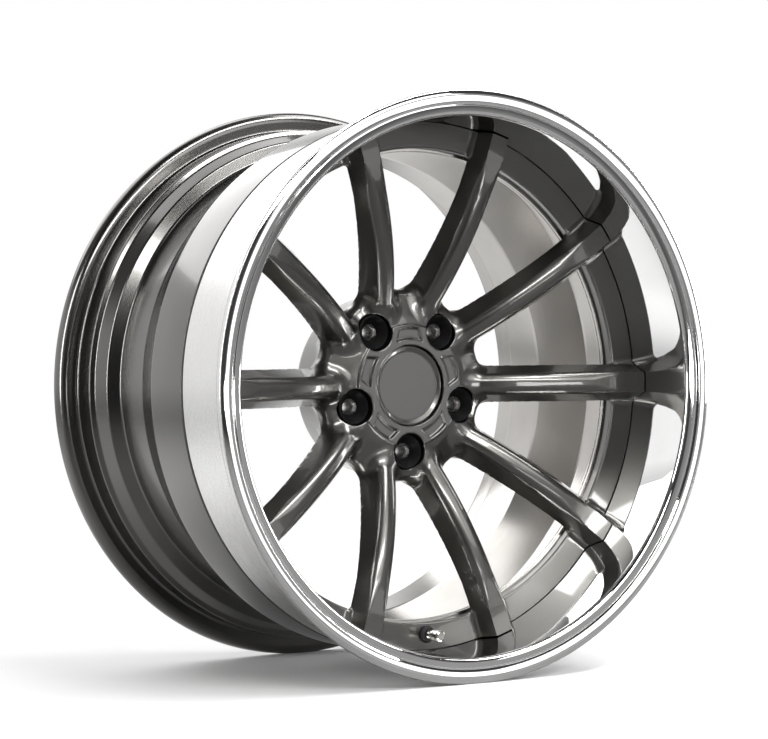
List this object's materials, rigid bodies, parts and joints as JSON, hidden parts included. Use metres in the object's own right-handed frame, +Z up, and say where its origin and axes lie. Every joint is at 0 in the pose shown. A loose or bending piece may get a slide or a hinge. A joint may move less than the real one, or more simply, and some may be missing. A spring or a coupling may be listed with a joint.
{
  "type": "forged racing wheel rim",
  "caption": "Three-piece forged racing wheel with a concave spoked centre bolted between a deep polished outer lip and a stepped inner barrel half.",
  "frame": {"origin": "on the wheel's axis, midway between the two tyre flanges", "axes": "+Y along the wheel's axis toward the vehicle, so the styled face looks toward -Y; +Z up; +X to the right seen from the front. The valve is at the bottom, toward -Z."},
  "size_m": [0.4956, 0.2936, 0.4956],
  "materials": {
    "gunmetal_clearcoat": "forged aluminium, smoked gunmetal metallic under a gloss clear coat",
    "polished_aluminium": "spun aluminium, mirror polished lip and satin machined outside",
    "smoked_aluminium": "spun aluminium with a smoked gunmetal clear coat outside",
    "grey_sealant": "dark silicone sealing bead",
    "zinc_plated_steel": "zinc plated twelve-point bolt",
    "black_oxide_steel": "black oxide steel, bright turned stud bore",
    "black_rubber": "matt black rubber",
    "nickel_plated_brass": "nickel plated brass, knurled cap",
    "brass": "plain turned brass"
  },
  "bodies": {
    "wheel": {"wheel_centre": "gunmetal_clearcoat", "outer_half": "polished_aluminium", "inner_half": "smoked_aluminium", "rim_seal": "grey_sealant", "assembly_bolt_01": "zinc_plated_steel", "assembly_bolt_02": "zinc_plated_steel", "assembly_bolt_03": "zinc_plated_steel", "assembly_bolt_04": "zinc_plated_steel", "assembly_bolt_05": "zinc_plated_steel", "assembly_bolt_06": "zinc_plated_steel", "assembly_bolt_07": "zinc_plated_steel", "assembly_bolt_08": "zinc_plated_steel", "assembly_bolt_09": "zinc_plated_steel", "assembly_bolt_10": "zinc_plated_steel", "assembly_bolt_11": "zinc_plated_steel", "assembly_bolt_12": "zinc_plated_steel", "assembly_bolt_13": "zinc_plated_steel", "assembly_bolt_14": "zinc_plated_steel", "assembly_bolt_15": "zinc_plated_steel", "assembly_bolt_16": "zinc_plated_steel", "assembly_bolt_17": "zinc_plated_steel", "assembly_bolt_18": "zinc_plated_steel", "assembly_bolt_19": "zinc_plated_steel", "assembly_bolt_20": "zinc_plated_steel", "assembly_bolt_21": "zinc_plated_steel", "assembly_bolt_22": "zinc_plated_steel", "assembly_bolt_23": "zinc_plated_steel", "assembly_bolt_24": "zinc_plated_steel", "assembly_bolt_25": "zinc_plated_steel", "assembly_bolt_26": "zinc_plated_steel", "assembly_bolt_27": "zinc_plated_steel", "assembly_bolt_28": "zinc_plated_steel", "assembly_bolt_29": "zinc_plated_steel", "assembly_bolt_30": "zinc_plated_steel", "lug_seat_insert_1": "black_oxide_steel", "lug_seat_insert_2": "black_oxide_steel", "lug_seat_insert_3": "black_oxide_steel", "lug_seat_insert_4": "black_oxide_steel", "lug_seat_insert_5": "black_oxide_steel", "valve_stem": "nickel_plated_brass", "valve_base_seal": "black_rubber", "valve_nut": "nickel_plated_brass", "valve_grommet": "black_rubber", "valve_core": "brass"},
    "cap": {"centre_cap": "gunmetal_clearcoat", "cap_retaining_ring": "black_rubber"},
    "core_pin": {"valve_core_pin": "brass"},
    "valve_cap_seat": {"valve_cap_gasket": "black_rubber"},
    "valve_cap_shell": {"valve_cap": "nickel_plated_brass"}
  },
  "joints": [
    {"name": "cap_pull", "type": "slide", "parent": "wheel", "child": "cap", "axis": [0, -1, 0], "range_m": [0, 0.03]},
    {"name": "valve_pin_press", "type": "slide", "parent": "wheel", "child": "core_pin", "axis": [0, 1, 0], "range_m": [0, 0.0012], "stiffness_N_per_m": 1000, "springref_m": -0.001},
    {"name": "valve_cap_travel", "type": "slide", "parent": "wheel", "child": "valve_cap_seat", "axis": [0, -1, 0], "range_m": [0, 0.0056]},
    {"name": "valve_cap_turn", "type": "hinge", "parent": "valve_cap_seat", "child": "valve_cap_shell", "pos_m": [0, -0.083, -0.2135], "axis": [0, -1, 0], "range_deg": [0, 2560]}
  ],
  "couplings": [
    {"joint": "valve_cap_turn", "follows": "valve_cap_travel", "rad_per_m": 7913.3}
  ]
}
